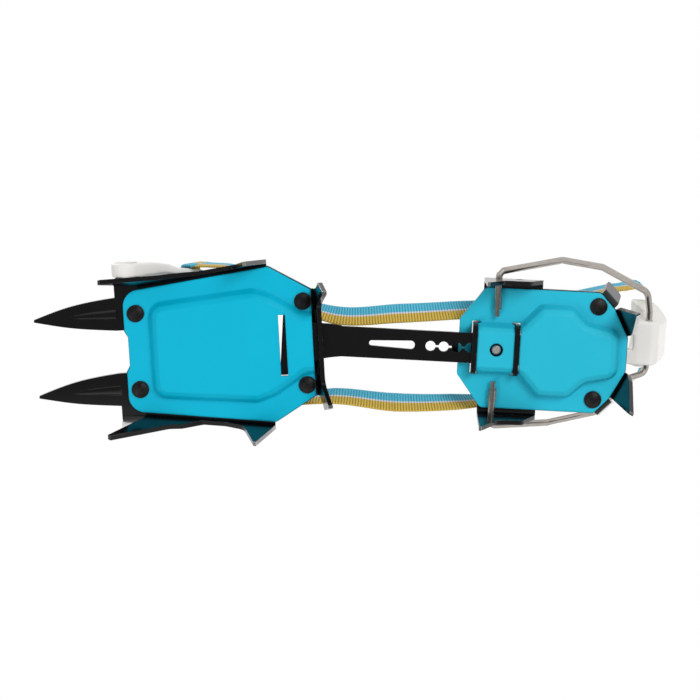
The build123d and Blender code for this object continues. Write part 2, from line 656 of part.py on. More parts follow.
# --- Webbing ----------------------------------------------------------------------------
TUNNEL = Vector(CROSS_X + TUNNEL_X, 0, CROSS_Z + TUNNEL_Z)
TUNNEL_LEAN = (0, 0, 1)
SLOT_PLACE = FRONT_PLACE * Pos(SLOT_X, 0, SLOT_Z) * Rot(0, SLOT_TILT, 0)
OUTSIDE = 43.6   # where the webbing turns over the wings of the toe bail

LEFT_RUN = [
    # x, y and height above the front frame of the webbing's middle, then the way across it
    (-90, 28.0, 92.5, -0.2, 0.1, 1), (-76, 28.5, 82.0, -0.4, 0.1, 1),
    (-42, 24.0, 53.0, -0.4, 0.2, 1), (-6, 20.5, 28.0, -0.3, 0.4, 1), (22, 18.5, 17.5, -0.1, 0.7, 1),
    (56, 15.4, 13.5, 0, 0.8, 1), (92, 12.4, 13.5, 0.1, 0.7, 1), (126, 22.0, 19.5, 0.15, 0.3, 1),
    (150, 34.5, 28.0, -0.2, 0, 1),
]
RIGHT_RUN = [
    (-90, -28.0, 92.5, -0.2, -0.1, 1), (-76, -29.0, 82.0, -0.4, -0.1, 1),
    (-42, -30.0, 53.0, -0.4, 0, 1), (-6, -33.5, 28.0, -0.3, 0.1, 1), (22, -35.4, 17.5, -0.1, 0.5, 1),
    (56, -36.7, 13.5, 0, 0.7, 1), (92, -35.0, 13.5, 0.1, 0.5, 1), (122, -42.0, 20.0, 0.1, 0, 1),
    (143, -50.5, 29.0, -0.2, 0, 1),
]


def ribbon(stations):
    """Webbing through stations of middle, direction of travel and direction across it."""
    sections = []
    for middle, travel, across in stations:
        travel = travel.normalized()
        across = (across - travel * across.dot(travel)).normalized()
        plane = Plane(middle, x_dir=across, z_dir=travel)
        sections.append(plane * Rectangle(WEB_WIDTH, WEB_THICK))
    return loft(sections, ruled=True)


def slot_point(q, y):
    """Point of the toe strap: q is its distance forward and up from the slots' middle."""
    return (SLOT_PLACE * Pos(0, y, q)).position


def toward(q, y):
    return slot_point(q, y) - slot_point(0, 0)


def slot_stations(points):
    """Stations of webbing bent in the plane across the slots, through points of y and q."""
    across = (SLOT_PLACE * Pos(-1, 0, 0)).position - SLOT_PLACE.position
    edges = rounded_edges([(*point, 2.2) for point in points], closed=False)
    places = []
    for edge in edges:
        steps = (0,) if edge.geom_type == GeomType.LINE else (0, 0.33, 0.67)
        places += [(edge @ t, edge % t) for t in steps]
    places.append((edges[-1] @ 1, edges[-1] % 1))
    return [(slot_point(at.Y, at.X), toward(way.Y, way.X), across) for at, way in places]


def run_stations(run, side, steps=26):
    """Stations along one side, from the lever's tunnel to the slot in the toe bail."""
    tunnel_end = TUNNEL + Vector(0, side * (LEVER_TOP_HALF + 2), 0)
    slot_end = slot_point(-9, side * OUTSIDE)
    across_slot = (SLOT_PLACE * Pos(-1, 0, 0)).position - SLOT_PLACE.position
    middles = [tunnel_end] + [Vector(x, y, FRONT_UNDER + z) for x, y, z, *_ in run] + [slot_end]
    widths = [Vector(*TUNNEL_LEAN)] + [Vector(*row[3:]) for row in run] + [across_slot]
    line = Spline(middles)
    reach = [0.0]
    for here, following in zip(middles, middles[1:]):
        reach.append(reach[-1] + (following - here).length)
    stations = []
    for i in range(steps + 1):
        t = i / steps
        k = max(j for j in range(len(run) + 1) if reach[j] <= t * reach[-1])
        part = (t * reach[-1] - reach[k]) / (reach[k + 1] - reach[k])
        travel = line % t
        if i in (0, steps):
            travel = toward(1, 0) if i else Vector(0, side, 0)
        stations.append((line @ t, travel, widths[k] * (1 - part) + widths[k + 1] * part))
    return stations


def make_strap_left():
    tail = [
        (OUTSIDE, -9), (OUTSIDE, 0), (31, -0.4), (26.5, -1.7), (19, -1.2), (20, 8.4), (27, 8.2),
    ]
    return ribbon(run_stations(LEFT_RUN, 1) + slot_stations(tail)[1:])


def make_strap_right():
    return ribbon(run_stations(RIGHT_RUN, -1))


def make_strap_toe():
    end = RING_Y - RING_WIRE - 0.2 - WEB_THICK
    return ribbon(slot_stations([(-OUTSIDE, -9), (-OUTSIDE, 0), (-28, 0), (-12, 3.3), (end, 3.3)]))


def make_strap_heel():
    plane = Plane(TUNNEL + Vector(0, -LEVER_TOP_HALF - 2, 0), x_dir=TUNNEL_LEAN, z_dir=(0, 1, 0))
    return extrude(plane * Rectangle(WEB_WIDTH, WEB_THICK), amount=2 * LEVER_TOP_HALF + 4)


def make_ring_loop():
    """Webbing sewn round the straight sides of both buckle rings."""
    outer = RING_WIRE + 0.2 + WEB_THICK
    tall = 3.6
    shape = []
    for grow in (outer, outer - WEB_THICK):
        points = [
            (RING_Y - grow, 3.4 - tall / 2 - grow, grow - 0.01),
            (RING_Y + grow, 3.4 - tall / 2 - grow, grow - 0.01),
            (RING_Y + grow, 3.4 + tall / 2 + grow, grow - 0.01),
            (RING_Y - grow, 3.4 + tall / 2 + grow, grow - 0.01),
        ]
        shape.append(extrude(ACROSS * rounded_face(points), amount=WEB_WIDTH / 2, both=True))
    return SLOT_PLACE * (shape[0] - shape[1])


def make_buckle_rings():
    """Two steel D rings, one on the other."""
    rings = []
    for q in (1.6, 5.2):
        points = [
            (-9.5, RING_Y, 2.5), (9.5, RING_Y, 2.5), (9.5, RING_Y + 13.5, 9.0), (-9.5, RING_Y + 13.5, 9.0),
        ]
        wire = Pos(0, 0, q) * Wire([edge.edge() for edge in rounded_edges(points)])
        rings.append(SLOT_PLACE * round_wire(wire, RING_WIRE))
    return rings


# --- All the pieces ---------------------------------------------------------------------
pieces = {
    "front_frame": FRONT_PLACE * make_front_frame(),
    "front_plate": FRONT_PLACE * make_front_plate(),
    "front_studs": [FRONT_PLACE * piece for piece in make_front_studs()],
    "toe_rivets": [FRONT_PLACE * piece for piece in make_toe_rivets()],
    "toe_bail": FRONT_PLACE * make_toe_bail(),
    "link_bar": make_link_bar(),
    "heel_frame": HEEL_PLACE * make_heel_frame(),
    "heel_plate": HEEL_PLACE * make_heel_plate(),
    "heel_studs": [HEEL_PLACE * piece for piece in make_heel_studs()],
    "lock_pin": make_lock_pin(),
    "lock_finger_plate": make_finger_plate(),
    "lock_spring": make_lock_spring(),
    "lock_rivets": make_lock_rivets(),
    "heel_bail": make_heel_bail(),
    "heel_lever": make_heel_lever(),
    "strap_left": make_strap_left(),
    "strap_right": make_strap_right(),
    "strap_toe": make_strap_toe(),
    "strap_heel": make_strap_heel(),
    "strap_ring_loop": make_ring_loop(),
    "buckle_rings": make_buckle_rings(),
}

solids = {}
for name, piece in pieces.items():
    items = piece if isinstance(piece, list) else [piece]
    solids[name] = Compound([solid for item in items for solid in item.solids()])

everything = Compound([solid for piece in solids.values() for solid in piece.solids()])
box = everything.bounding_box()
origin = Vector((box.min.X + box.max.X) / 2, (box.min.Y + box.max.Y) / 2, box.min.Z)

for name, piece in solids.items():
    export_step(Pos(*(-origin)) * piece, f"parts/{name}.step")
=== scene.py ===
import math

import bmesh
import bpy
import numpy as np
from mathutils import Matrix, Vector


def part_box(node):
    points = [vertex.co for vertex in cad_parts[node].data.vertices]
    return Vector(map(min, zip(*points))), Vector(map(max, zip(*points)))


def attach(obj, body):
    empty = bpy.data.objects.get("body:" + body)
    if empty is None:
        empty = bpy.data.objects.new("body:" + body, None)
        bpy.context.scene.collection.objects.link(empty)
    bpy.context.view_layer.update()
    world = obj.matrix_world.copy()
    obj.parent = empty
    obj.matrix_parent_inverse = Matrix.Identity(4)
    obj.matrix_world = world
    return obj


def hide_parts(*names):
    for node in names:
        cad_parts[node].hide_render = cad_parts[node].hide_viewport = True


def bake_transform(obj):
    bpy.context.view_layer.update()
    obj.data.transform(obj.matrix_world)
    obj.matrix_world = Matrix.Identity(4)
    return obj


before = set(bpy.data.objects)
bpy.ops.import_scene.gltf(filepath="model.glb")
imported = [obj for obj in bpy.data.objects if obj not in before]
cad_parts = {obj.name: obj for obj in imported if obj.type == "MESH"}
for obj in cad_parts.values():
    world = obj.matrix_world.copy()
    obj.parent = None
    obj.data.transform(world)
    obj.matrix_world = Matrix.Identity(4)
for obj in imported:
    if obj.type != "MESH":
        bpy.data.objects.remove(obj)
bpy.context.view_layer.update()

# A left-foot crampon. +X points to the toe, +Y to the outer side of the foot, +Z up, in metres.

MM = 0.001
# The row frame is the drawing frame, whose x = 0 is the length lock, less this origin.
DRAWING_ORIGIN = Vector((78.0835, -4.14685, 0.0))


def placed(x, y, z):
    """Point of the drawing frame, in mm, as a point of the row frame in metres."""
    return (Vector((x, y, z)) - DRAWING_ORIGIN) * MM


def to_row(points):
    """Array of drawing-frame points, in mm, as row-frame points in metres."""
    return (points - np.array(DRAWING_ORIGIN)) * MM


def linked(name, data):
    """A new object of the data, in the scene's own collection."""
    made = bpy.data.objects.new(name, data)
    bpy.context.scene.collection.objects.link(made)
    return made


# The front section's own frame in the drawing: x from its rear edge, z from its underside.
T_HEAD = (121.5, -3.7, 33.0)       # the point of the bar's T head that the section swings about
T_SLOT_X = 20.0                    # the T head's slot in the section
TOE_ANGLE = math.radians(6.0)      # how far the section points inwards of the bar
FRONT_PLACE = (
    Matrix.Translation(T_HEAD) @ Matrix.Rotation(-TOE_ANGLE, 4, "Z")
    @ Matrix.Translation((-T_SLOT_X, 0, 0))
)


# --- Camera -----------------------------------------------------------------------------
VIEW_TILT = math.radians(9.0)      # how far the view leans towards the +Y side
VIEW_ROLL = math.radians(3.0)
CAMERA_DISTANCE = 1.482
CAMERA_LENS = 133.7
AIM_FROM_PIN = -83.4 * MM          # the middle of the view, along the view's own right
SENSOR_WIDTH = 36.0


def make_camera():
    """Camera under the crampon, its view's middle found from the lock pin's lower end."""
    forward = Vector((0.0, -math.sin(VIEW_TILT), math.cos(VIEW_TILT)))
    flat_right = Vector((-1.0, 0.0, 0.0))
    flat_up = Vector((0.0, math.cos(VIEW_TILT), math.sin(VIEW_TILT)))
    right = math.cos(VIEW_ROLL) * flat_right + math.sin(VIEW_ROLL) * flat_up
    up = -math.sin(VIEW_ROLL) * flat_right + math.cos(VIEW_ROLL) * flat_up
    low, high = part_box("lock_pin")
    pin = Vector(((low.x + high.x) / 2, (low.y + high.y) / 2, low.z))
    aim = pin + right * AIM_FROM_PIN
    camera = linked("camera", bpy.data.cameras.new("camera"))
    camera.data.lens = CAMERA_LENS
    camera.data.sensor_width = SENSOR_WIDTH
    camera.data.clip_start = 0.05
    camera.data.clip_end = 30.0
    turn = Matrix((right, up, -forward)).transposed()
    camera.matrix_world = Matrix.Translation(aim - forward * CAMERA_DISTANCE) @ turn.to_4x4()
    bpy.context.scene.camera = camera


make_camera()


# --- Node helpers -----------------------------------------------------------------------
class Nodes:
    """A node tree with short calls: the inputs are numbers, colours or other nodes' sockets."""

    def __init__(self, tree):
        self.tree = tree
        tree.nodes.clear()

    def add(self, kind, inputs=None, **settings):
        node = self.tree.nodes.new(kind)
        for name, value in settings.items():
            setattr(node, name, value)
        for name, value in (inputs or {}).items():
            socket = node.inputs[name]
            if isinstance(value, bpy.types.NodeSocket):
                self.tree.links.new(value, socket)
            else:
                socket.default_value = value
        return node

    def math(self, operation, a, b=0.0, clamp=False):
        return self.add(
            "ShaderNodeMath", {0: a, 1: b}, operation=operation, use_clamp=clamp
        ).outputs[0]

    def between(self, value, low, high, out_low=0.0, out_high=1.0):
        """out_low at low and out_high at high, with a smooth step between them."""
        inputs = {
            "Value": value, "From Min": low, "From Max": high,
            "To Min": out_low, "To Max": out_high,
        }
        return self.add("ShaderNodeMapRange", inputs, interpolation_type="SMOOTHSTEP").outputs[0]

    def blend(self, share, a, b):
        """Colour a at a share of 0 and b at 1. The Mix node's colour sockets have these places."""
        return self.add("ShaderNodeMix", {0: share, 6: a, 7: b}, data_type="RGBA").outputs[2]

    def noise(self, where, scale, detail=3.0, roughness=0.55):
        """Noise from 0 to 1, with about scale patches to a metre."""
        inputs = {"Vector": where, "Scale": scale, "Detail": detail, "Roughness": roughness}
        return self.add("ShaderNodeTexNoise", inputs).outputs["Fac"]

    def axes(self, vector):
        """The vector's three numbers."""
        return self.add("ShaderNodeSeparateXYZ", {0: vector}).outputs

    def stretch(self, vector, scale):
        """Patches to a metre along each axis, for a noise whose own scale is 1."""
        return self.add("ShaderNodeMapping", {"Vector": vector, "Scale": scale}).outputs[0]

    def bump(self, height, distance, strength, normal=None):
        """The normal of a relief that rises by distance where the height is 1."""
        inputs = {"Height": height, "Distance": distance, "Strength": strength}
        if normal is not None:
            inputs["Normal"] = normal
        return self.add("ShaderNodeBump", inputs).outputs[0]

    def edges(self, radius, low, high):
        """1 on sharp edges, and the rounded normal that they are shaded with."""
        rounded = self.add("ShaderNodeBevel", {"Radius": radius}, samples=6).outputs[0]
        true = self.add("ShaderNodeNewGeometry").outputs["Normal"]
        same = self.add("ShaderNodeVectorMath", {0: rounded, 1: true}, operation="DOT_PRODUCT")
        return self.between(same.outputs["Value"], high, low), rounded


def srgb(red, green, blue):
    """Colour from its three 0-255 numbers, as linear light."""
    out = []
    for value in (red, green, blue):
        value /= 255.0
        out.append(value / 12.92 if value <= 0.04045 else ((value + 0.055) / 1.055) ** 2.4)
    return (*out, 1.0)


def finish_material(name):
    """A new material, its nodes, and the place on the piece that its patterns read."""
    material = bpy.data.materials.new(name)
    material.use_nodes = True
    nodes = Nodes(material.node_tree)
    where = nodes.add("ShaderNodeTexCoord").outputs["Object"]
    return material, nodes, where


def surface(nodes, inputs):
    shader = nodes.add("ShaderNodeBsdfPrincipled", inputs).outputs[0]
    nodes.add("ShaderNodeOutputMaterial", {"Surface": shader})


# --- Materials --------------------------------------------------------------------------
WEAR_FROM, WEAR_FULL = 17.0 * MM, 3.0 * MM   # heights between which a tooth's wear grows


def painted_steel(name, bare_below=None):
    """Gloss black paint with a fine orange peel, worn bright along its edges.

    The wear grows towards the ground, and the tips are bare below bare_below.
    """
    material, nodes, where = finish_material(name)
    edge, rounded = nodes.edges(0.35 * MM, 0.80, 0.985)
    patchy = nodes.noise(where, 130.0, 5.0, 0.7)
    scuffs = nodes.noise(nodes.stretch(where, (500, 60, 500)), 1.0, 4.0)
    wear = patchy
    if bare_below:
        height = nodes.axes(where)[2]
        low = nodes.between(height, WEAR_FROM, WEAR_FULL, 0.0, 0.26)
        wear = nodes.math("ADD", patchy, low)
    worn = nodes.math("MULTIPLY", edge, nodes.between(wear, 0.50, 0.72), clamp=True)
    if bare_below:
        near_tip = nodes.between(height, bare_below, 0.0)
        ragged = nodes.math("ADD", near_tip, nodes.math("MULTIPLY", patchy, 0.55))
        worn = nodes.math("MAXIMUM", worn, nodes.between(ragged, 0.92, 1.25))
    steel = nodes.blend(scuffs, srgb(128, 126, 125), srgb(176, 174, 172))
    paint = nodes.blend(patchy, srgb(6, 6, 8), srgb(14, 14, 16))
    colour = nodes.blend(worn, paint, steel)
    rough = nodes.between(scuffs, 0.25, 0.75, 0.13, 0.20)
    peel = nodes.bump(nodes.noise(where, 1100.0, 2.0), 0.03 * MM, 0.5, rounded)
    inputs = {
        "Base Color": colour, "Roughness": rough, "Metallic": nodes.math("MULTIPLY", worn, 0.9),
        "Specular IOR Level": 0.38, "Normal": peel,
    }
    surface(nodes, inputs)
    return material


def moulded_plastic(name, colour, shade, rim, fillet, level, edge_shade_share):
    """Tough satin plastic with a fine moulded grain, and a painted shade that darkens its sharp
    edges.

    level is the strength of its gloss, and the last argument how much of the painted edge shade
    shows.
    """
    material, nodes, where = finish_material(name)
    edge, _ = nodes.edges(0.4 * MM, 0.60, 0.97)
    rounded = nodes.add("ShaderNodeBevel", {"Radius": fillet}, samples=8).outputs[0]
    cloudy = nodes.noise(where, 22.0, 3.0)
    grain = nodes.noise(where, 1500.0, 3.0, 0.6)
    body = nodes.blend(nodes.between(cloudy, 0.3, 0.7, 0.0, 0.55), colour, shade)
    body = nodes.blend(nodes.between(grain, 0.25, 0.75, 0.0, 0.16), body, shade)
    # painted shade: the sharp edges are blended towards the darker rim colour
    body = nodes.blend(nodes.math("MULTIPLY", edge, edge_shade_share), body, rim)
    rough = nodes.between(grain, 0.3, 0.7, 0.40, 0.54)
    flow = nodes.noise(nodes.stretch(where, (60, 140, 60)), 1.0, 3.0)
    relief = nodes.bump(flow, 0.10 * MM, 0.12, rounded)
    relief = nodes.bump(grain, 0.03 * MM, 0.5, relief)
    inputs = {
        "Base Color": body, "Roughness": rough, "Specular IOR Level": level, "Normal": relief,
    }
    surface(nodes, inputs)
    return material


DULLER, LIGHTER = 0.84, 1.16  # the patches' and the lines' colour next to the steel's own


def bright_metal(name, lines_scale, colour, rough):
    """Bare steel drawn or turned, with fine lines along one axis and faint dull patches."""
    material, nodes, where = finish_material(name)
    _, rounded = nodes.edges(0.3 * MM, 0.8, 0.98)
    lines = nodes.noise(nodes.stretch(where, lines_scale), 1.0, 4.0, 0.6)
    patchy = nodes.noise(where, 60.0, 4.0, 0.6)
    dull = srgb(*(DULLER * value for value in colour))
    light = srgb(*(min(255, LIGHTER * value) for value in colour))
    tint = nodes.blend(nodes.between(patchy, 0.40, 0.80, 0.0, 0.7), srgb(*colour), dull)
    tint = nodes.blend(nodes.between(lines, 0.35, 0.80, 0.0, 0.4), tint, light)
    roughness = nodes.between(patchy, 0.35, 0.8, rough, rough + 0.10)
    inputs = {
        "Base Color": tint, "Roughness": roughness, "Metallic": 1.0,
        "Normal": nodes.bump(lines, 0.012 * MM, 0.35, rounded),
    }
    surface(nodes, inputs)
    return material


def stud_finish(name):
    """Blackened stud with a coarse stamped grain and a worn rim."""
    material, nodes, where = finish_material(name)
    edge, rounded = nodes.edges(0.4 * MM, 0.8, 0.98)
    grain = nodes.noise(where, 1100.0, 4.0, 0.75)
    scuffs = nodes.noise(nodes.stretch(where, (900, 120, 900)), 1.0, 3.0)
    tone = nodes.between(nodes.math("MULTIPLY", grain, nodes.math("ADD", scuffs, 0.5)), 0.45, 0.75)
    colour = nodes.blend(tone, srgb(12, 12, 14), srgb(40, 39, 40))
    colour = nodes.blend(nodes.math("MULTIPLY", edge, 0.5), colour, srgb(92, 90, 89))
    inputs = {
        "Base Color": colour, "Roughness": nodes.between(grain, 0.3, 0.7, 0.34, 0.5),
        "Specular IOR Level": 0.30, "Metallic": 0.1,
        "Normal": nodes.bump(grain, 0.08 * MM, 0.7, rounded),
    }
    surface(nodes, inputs)
    return material


WEB_WIDTH = 15.0
WEB_THICK = 1.4
BAND_EDGES = (0.475, 0.560)  # across the webbing: blue, then white, then yellow
RIB = 1.62 * MM              # one rib of the weave along the webbing
FLECK_ROWS = 14              # rows of pale flecks that would fit across the webbing


def woven_webbing(name):
    """Flat polyester webbing: a blue and a yellow band either side of a white cord, with a painted
    shade darkening the grooves between its ribs.
    """
    material, nodes, _ = finish_material(name)
    uv = nodes.axes(nodes.add("ShaderNodeUVMap", uv_map="Weave").outputs[0])
    along, across = uv[0], uv[1]
    past_blue, past_white = (nodes.math("GREATER_THAN", across, edge) for edge in BAND_EDGES)
    turns = nodes.math("MULTIPLY", along, 2 * math.pi / RIB)
    wave = {0: nodes.math("SINE", turns), 1: 0.5, 2: 0.5}
    rib = nodes.add("ShaderNodeMath", wave, operation="MULTIPLY_ADD").outputs[0]
    width = nodes.math("MULTIPLY", across, WEB_WIDTH * MM)
    place = nodes.add("ShaderNodeCombineXYZ", {0: along, 1: width}).outputs[0]
    yarn = nodes.noise(nodes.stretch(place, (1400, 3600, 1)), 1.0, 2.0)
    cords = nodes.math("SINE", nodes.math("MULTIPLY", across, 2 * math.pi * FLECK_ROWS))
    # painted shade: each band darkens in the grooves between the ribs
    groove_shade = nodes.between(rib, 0.0, 0.55, 1.0, 0.0)
    speck = nodes.math("MULTIPLY", nodes.between(cords, -0.1, 0.7), nodes.between(rib, 0.35, 0.8))
    blue = nodes.blend(nodes.math("MULTIPLY", speck, 0.40), srgb(36, 190, 222), srgb(166, 222, 232))
    blue = nodes.blend(nodes.math("MULTIPLY", groove_shade, 0.75), blue, srgb(14, 118, 154))
    white = nodes.blend(groove_shade, srgb(226, 225, 232), srgb(168, 170, 182))
    yellow = nodes.blend(groove_shade, srgb(222, 188, 52), srgb(146, 112, 16))
    colour = nodes.blend(past_white, nodes.blend(past_blue, blue, white), yellow)
    colour = nodes.blend(nodes.between(yarn, 0.25, 0.75, 0.0, 0.12), colour, srgb(236, 236, 232))
    height = nodes.math("ADD", nodes.math("MULTIPLY", yarn, 0.5), rib)
    inputs = {
        "Base Color": colour, "Roughness": 0.72, "Specular IOR Level": 0.2,
        "Sheen Weight": 0.10, "Sheen Roughness": 0.45,
        "Normal": nodes.bump(height, 0.10 * MM, 0.7),
    }
    surface(nodes, inputs)
    return material


def thread_finish(name):
    """Pale twisted sewing thread."""
    material, nodes, where = finish_material(name)
    twist = nodes.noise(where, 2600.0, 2.0)
    inputs = {
        "Base Color": nodes.blend(twist, srgb(232, 230, 228), srgb(196, 195, 200)),
        "Roughness": 0.6, "Normal": nodes.bump(twist, 0.03 * MM, 0.6),
    }
    surface(nodes, inputs)
    return material


BARE_TIP = 2.4 * MM          # the teeth are worn to bare steel this far up
PLATE_FILLET = 1.8 * MM      # how softly the moulded plates are rounded
LEVER_FILLET = 1.0 * MM

FRAME_PAINT = painted_steel("black_frame_paint", BARE_TIP)
BAR_PAINT = painted_steel("black_bar_paint")
# each plastic's third colour is a painted shade that darkens its sharp edges
FRONT_PLASTIC = moulded_plastic(
    "front_plate_plastic", srgb(0, 187, 220), srgb(0, 180, 214), srgb(8, 96, 124),
    PLATE_FILLET, level=0.14, edge_shade_share=0.3,
)
HEEL_PLASTIC = moulded_plastic(
    "heel_plate_plastic", srgb(38, 190, 217), srgb(30, 184, 211), srgb(12, 108, 136),
    PLATE_FILLET, level=0.2, edge_shade_share=0.3,
)
WHITE_PLASTIC = moulded_plastic(
    "white_plastic", srgb(249, 247, 243), srgb(245, 243, 238), srgb(226, 223, 219),
    LEVER_FILLET, level=0.35, edge_shade_share=0.1,
)
# their fine lines run along the axis with the smallest number
WIRE_STEEL = bright_metal("wire_steel", (80, 500, 500), (172, 166, 160), 0.16)
PIN_STEEL = bright_metal("pin_steel", (700, 700, 80), (206, 202, 198), 0.42)
RING_STEEL = bright_metal("ring_steel", (400, 400, 400), (170, 168, 165), 0.2)
STUD_FINISH = stud_finish("stud_finish")
WEBBING = woven_webbing("woven_webbing")
THREAD = thread_finish("sewing_thread")

NODE_FINISHES = {
    "front_frame": FRAME_PAINT, "heel_frame": FRAME_PAINT, "link_bar": BAR_PAINT,
    "lock_finger_plate": BAR_PAINT, "lock_spring": PIN_STEEL, "lock_pin": PIN_STEEL,
    "lock_rivets": STUD_FINISH, "front_plate": FRONT_PLASTIC, "heel_plate": HEEL_PLASTIC,
    "front_studs": STUD_FINISH, "heel_studs": STUD_FINISH, "toe_rivets": STUD_FINISH,
    "toe_bail": WHITE_PLASTIC, "heel_lever": WHITE_PLASTIC, "heel_bail": WIRE_STEEL,
    "buckle_rings": RING_STEEL,
}
for node_name, finish in NODE_FINISHES.items():
    node_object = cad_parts[node_name]
    for material_slot in node_object.material_slots:
        material_slot.material = finish


# --- Webbing ----------------------------------------------------------------------------
OUTSIDE = 43.6               # how far out the webbing turns over the toe bail's wings
TURN_IN = -9.0               # how far below the wings' slots a side's webbing ends
TUNNEL_END = 22.0            # how far out the webbing leaves the lever's tunnel
TUNNEL = Vector((-95.706, 0.0, 128.13))  # middle of the lever's strap tunnel
TUNNEL_LEAN = Vector((0.0, 0.0, 1.0))
RING_Y = 13.5                # straight side of the buckle rings
RING_MIDDLE = 3.4            # middle of the two rings, off the slots' middle
LOOP_RADIUS = 2.4            # of the webbing's middle round the rings
LOOP_HALF = 1.8              # half of the loop's straight run
STEP = RIB / 4 / MM          # between the rows of points along the webbing
SPAN_POINTS = 60             # worked out from one given point of a line to the next
TURN = 2.2                   # radius of the webbing's sharp turns
LONG_RUN = 4.0               # a longer straight run gets points near its ends and in its middle
NEAR_END = 1.0               # how near

# The webbing's section: its faces, ribs and cords rise from a skin that is a little sunk.
SKIN_SUNK = 0.16
EDGE_SUNK = 0.10
RIB_RISE = 0.10
CORD_RISE = 0.05
CORD_COUNT = 15
CORDS_END = 0.93             # no cords beyond this share of the half width
FACE_HALF = 0.90             # half of the flat face, as such a share
CORNER = (0.975, 0.75)       # where the edge is rounded: shares of half width and half thickness

BLUE_BELOW, BLUE_ABOVE = 1, -1   # which way round the bands lie across the webbing

LEFT_RUN = [
    # x, y, z of the webbing's middle in the drawing frame, then the direction across it
    (-90, 28.0, 125.5, -0.2, 0.1, 1), (-76, 28.5, 115.0, -0.4, 0.1, 1),
    (-42, 24.0, 86.0, -0.4, 0.2, 1), (-6, 20.5, 61.0, -0.3, 0.4, 1),
    (22, 18.5, 50.5, -0.1, 0.7, 1), (56, 15.4, 46.5, 0, 0.8, 1), (92, 12.4, 46.5, 0.1, 0.7, 1),
    (126, 22.0, 52.5, 0.15, 0.3, 1), (150, 34.5, 61.0, -0.2, 0, 1),
]
RIGHT_RUN = [
    (-90, -28.0, 125.5, -0.2, -0.1, 1), (-76, -29.0, 115.0, -0.4, -0.1, 1),
    (-42, -30.0, 86.0, -0.4, 0, 1), (-6, -33.5, 61.0, -0.3, 0.1, 1),
    (22, -35.4, 50.5, -0.1, 0.5, 1), (56, -36.7, 46.5, 0, 0.7, 1),
    (92, -35.0, 46.5, 0.1, 0.5, 1), (122, -42.0, 53.0, 0.1, 0, 1), (143, -50.5, 62.0, -0.2, 0, 1),
]

SLOT_X, SLOT_Z = 74.0, 44.0       # the slots in the toe bail's wings, in the front section's frame
SLOT_TILT = math.radians(45.0)
SLOT_PLACE = (
    FRONT_PLACE @ Matrix.Translation((SLOT_X, 0, SLOT_Z)) @ Matrix.Rotation(SLOT_TILT, 4, "Y")
)
SLOT_ACROSS = SLOT_PLACE.to_3x3() @ Vector((-1, 0, 0))


def slot_point(q, y):
    """Drawing-frame point by the toe slots: q is its distance forward and up from their middle."""
    return SLOT_PLACE @ Vector((0, y, q))


def smooth_line(points):
    """Points a step apart along a smooth curve, and how far each is along the given points."""
    points = [np.array(p, float) for p in points]
    ends = [2 * points[0] - points[1]] + points + [2 * points[-1] - points[-2]]
    dense, shares = [], []
    for i in range(1, len(ends) - 2):
        p0, p1, p2, p3 = ends[i - 1:i + 3]
        # a cubic whose slopes at its ends weigh the runs on both sides by their lengths
        pairs = ((p0, p1), (p1, p2), (p2, p3))
        k0, k1, k2 = (max(np.linalg.norm(b - a), 1e-9) ** 0.5 for a, b in pairs)
        m1 = (p2 - p1) + k1 * ((p1 - p0) / k0 - (p2 - p0) / (k0 + k1))
        m2 = (p2 - p1) + k1 * ((p3 - p2) / k2 - (p3 - p1) / (k1 + k2))
        for t in np.linspace(0, 1, SPAN_POINTS, endpoint=i == len(ends) - 3):
            a, b = 2 * t**3 - 3 * t**2 + 1, t**3 - 2 * t**2 + t
            c, d = -2 * t**3 + 3 * t**2, t**3 - t**2
            dense.append(a * p1 + b * m1 + c * p2 + d * m2)
            shares.append(i - 1 + t)
    dense, shares = np.array(dense), np.array(shares)
    reach = np.concatenate([[0], np.cumsum(np.linalg.norm(np.diff(dense, axis=0), axis=1))])
    at = np.linspace(0, reach[-1], max(2, int(round(reach[-1] / STEP))) + 1)
    line = np.stack([np.interp(at, reach, dense[:, i]) for i in range(3)], axis=1)
    return line, np.interp(at, reach, shares)


def between_rows(rows, shares):
    """Rows of numbers read off at fractional row numbers."""
    rows = np.array([list(row) for row in rows], float)
    columns = [np.interp(shares, range(len(rows)), rows[:, i]) for i in range(rows.shape[1])]
    return np.stack(columns, axis=1)


